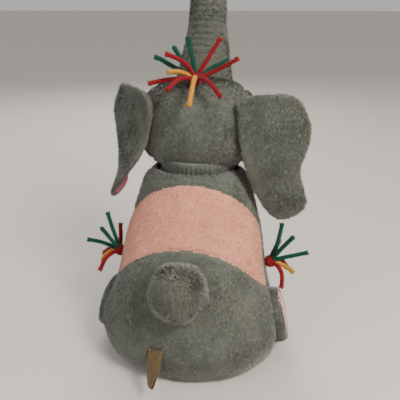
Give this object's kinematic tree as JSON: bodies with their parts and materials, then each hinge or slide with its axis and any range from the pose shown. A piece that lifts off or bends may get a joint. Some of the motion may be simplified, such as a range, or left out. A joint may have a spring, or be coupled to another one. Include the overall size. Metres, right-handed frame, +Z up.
{
  "type": "stuffed toy elephant",
  "caption": "Seated plush elephant with a raised trunk, floppy ears, a pink saddle panel, a pompom tail and yarn tufts.",
  "frame": {"origin": "Centre of the underside of the flat seat panel, on the table.", "axes": "-Y is the way the elephant faces, +X is its left side, +Z is up."},
  "size_m": [0.196, 0.1826, 0.3326],
  "materials": {
    "gray_plush": "short brushed gray plush",
    "pink_plush": "short brushed pink plush",
    "pink_felt": "pink felt",
    "rose_felt": "rose felt",
    "stuffing": "polyester stuffing",
    "thread": "sewing thread",
    "ribbon": "woven satin ribbon",
    "eye": "glossy black plastic",
    "washer": "white plastic",
    "yarn_green": "wool rug yarn",
    "yarn_red": "wool rug yarn",
    "yarn_yellow": "wool rug yarn"
  },
  "bodies": {
    "torso": {"seat_panel": "gray_plush", "rump_panel": "gray_plush", "saddle_panel": "pink_plush", "shoulder_panel": "gray_plush", "belly_panel": "gray_plush", "body_stuffing": "stuffing", "flank_knot_left": "yarn_red", "flank_green_left": "yarn_green", "flank_red_left": "yarn_red", "flank_yellow_left": "yarn_yellow", "flank_knot_right": "yarn_red", "flank_green_right": "yarn_green", "flank_red_right": "yarn_red", "flank_yellow_right": "yarn_yellow"},
    "neck": {"neck_plug": "stuffing", "neck_thread": "thread"},
    "head": {"head_side_left": "gray_plush", "head_side_right": "gray_plush", "head_gusset": "gray_plush", "chin_panel": "gray_plush", "head_stuffing": "stuffing", "eye_left": "eye", "eye_right": "eye", "eye_washer_left": "washer", "eye_washer_right": "washer", "jaw": "gray_plush", "mouth_felt": "rose_felt", "crown_knot": "yarn_red", "crown_green": "yarn_green", "crown_red": "yarn_red", "crown_yellow": "yarn_yellow"},
    "trunk_1": {"trunk_skin_1": "gray_plush", "trunk_stuffing_1": "stuffing"},
    "trunk_2": {"trunk_skin_2": "gray_plush", "trunk_stuffing_2": "stuffing"},
    "trunk_3": {"trunk_skin_3": "gray_plush", "trunk_stuffing_3": "stuffing", "trunk_tip": "pink_felt"},
    "ear_left": {"ear_back_left": "gray_plush", "ear_lining_left": "rose_felt"},
    "ear_right": {"ear_back_right": "gray_plush", "ear_lining_right": "rose_felt"},
    "hind_leg_left": {"hind_skin_left": "gray_plush", "hind_stuffing_left": "stuffing", "sole_left": "pink_felt"},
    "hind_leg_right": {"hind_skin_right": "gray_plush", "hind_stuffing_right": "stuffing", "sole_right": "pink_felt"},
    "front_leg_left": {"front_skin_left": "gray_plush", "front_stuffing_left": "stuffing", "pad_left": "pink_felt"},
    "front_leg_right": {"front_skin_right": "gray_plush", "front_stuffing_right": "stuffing", "pad_right": "pink_felt"},
    "tail": {"tail_skin": "gray_plush", "tail_stuffing": "stuffing"},
    "label": {"label_ribbon": "ribbon"}
  },
  "joints": [
    {"name": "neck_turn", "type": "hinge", "parent": "torso", "child": "neck", "pos_m": [0, -0.04, 0.15504], "axis": [0, 0, 1], "range_deg": [-20, 20], "stiffness_Nm_per_rad": 0.12},
    {"name": "head_nod", "type": "hinge", "parent": "neck", "child": "head", "pos_m": [0, -0.04, 0.16065], "axis": [1, 0, 0], "range_deg": [-7, 7], "stiffness_Nm_per_rad": 1.2},
    {"name": "trunk_root", "type": "hinge", "parent": "head", "child": "trunk_1", "pos_m": [0, -0.07585, 0.22617], "axis": [1, 0, 0], "range_deg": [-7, 10], "stiffness_Nm_per_rad": 0.3},
    {"name": "trunk_middle", "type": "hinge", "parent": "trunk_1", "child": "trunk_2", "pos_m": [0, -0.08991, 0.25931], "axis": [1, 0, 0], "range_deg": [-5, 10], "stiffness_Nm_per_rad": 0.15},
    {"name": "trunk_end", "type": "hinge", "parent": "trunk_2", "child": "trunk_3", "pos_m": [0, -0.09492, 0.29496], "axis": [1, 0, 0], "range_deg": [-9, 12], "stiffness_Nm_per_rad": 0.06},
    {"name": "ear_flap_left", "type": "hinge", "parent": "head", "child": "ear_left", "pos_m": [0.038, -0.01568, 0.17896], "axis": [0, 0, 1], "range_deg": [-8, 34], "stiffness_Nm_per_rad": 0.02},
    {"name": "ear_flap_right", "type": "hinge", "parent": "head", "child": "ear_right", "pos_m": [-0.038, -0.01568, 0.17896], "axis": [0, 0, 1], "range_deg": [-8, 40], "stiffness_Nm_per_rad": 0.02},
    {"name": "hip_left", "type": "hinge", "parent": "torso", "child": "hind_leg_left", "pos_m": [0.04482, -0.0128, 0.0264], "axis": [-0.0349, -0.9994, 0], "range_deg": [0, 12], "stiffness_Nm_per_rad": 0.25},
    {"name": "hip_right", "type": "hinge", "parent": "torso", "child": "hind_leg_right", "pos_m": [-0.04482, -0.0128, 0.0264], "axis": [-0.0349, 0.9994, 0], "range_deg": [0, 12], "stiffness_Nm_per_rad": 0.25},
    {"name": "shoulder_left", "type": "hinge", "parent": "torso", "child": "front_leg_left", "pos_m": [0.025, -0.08254, 0.096], "axis": [-1, 0, 0], "range_deg": [0, 20], "stiffness_Nm_per_rad": 0.25},
    {"name": "shoulder_right", "type": "hinge", "parent": "torso", "child": "front_leg_right", "pos_m": [-0.025, -0.08254, 0.096], "axis": [-1, 0, 0], "range_deg": [0, 20], "stiffness_Nm_per_rad": 0.25},
    {"name": "tail_wag", "type": "hinge", "parent": "torso", "child": "tail", "pos_m": [0, 0.04025, 0.08164], "axis": [0, 0, 1], "range_deg": [-8, 8], "stiffness_Nm_per_rad": 0.03},
    {"name": "label_flap", "type": "hinge", "parent": "torso", "child": "label", "pos_m": [0.01808, 0.05368, 0.03768], "axis": [1, 0, 0], "range_deg": [0, 35], "stiffness_Nm_per_rad": 0.0006}
  ]
}
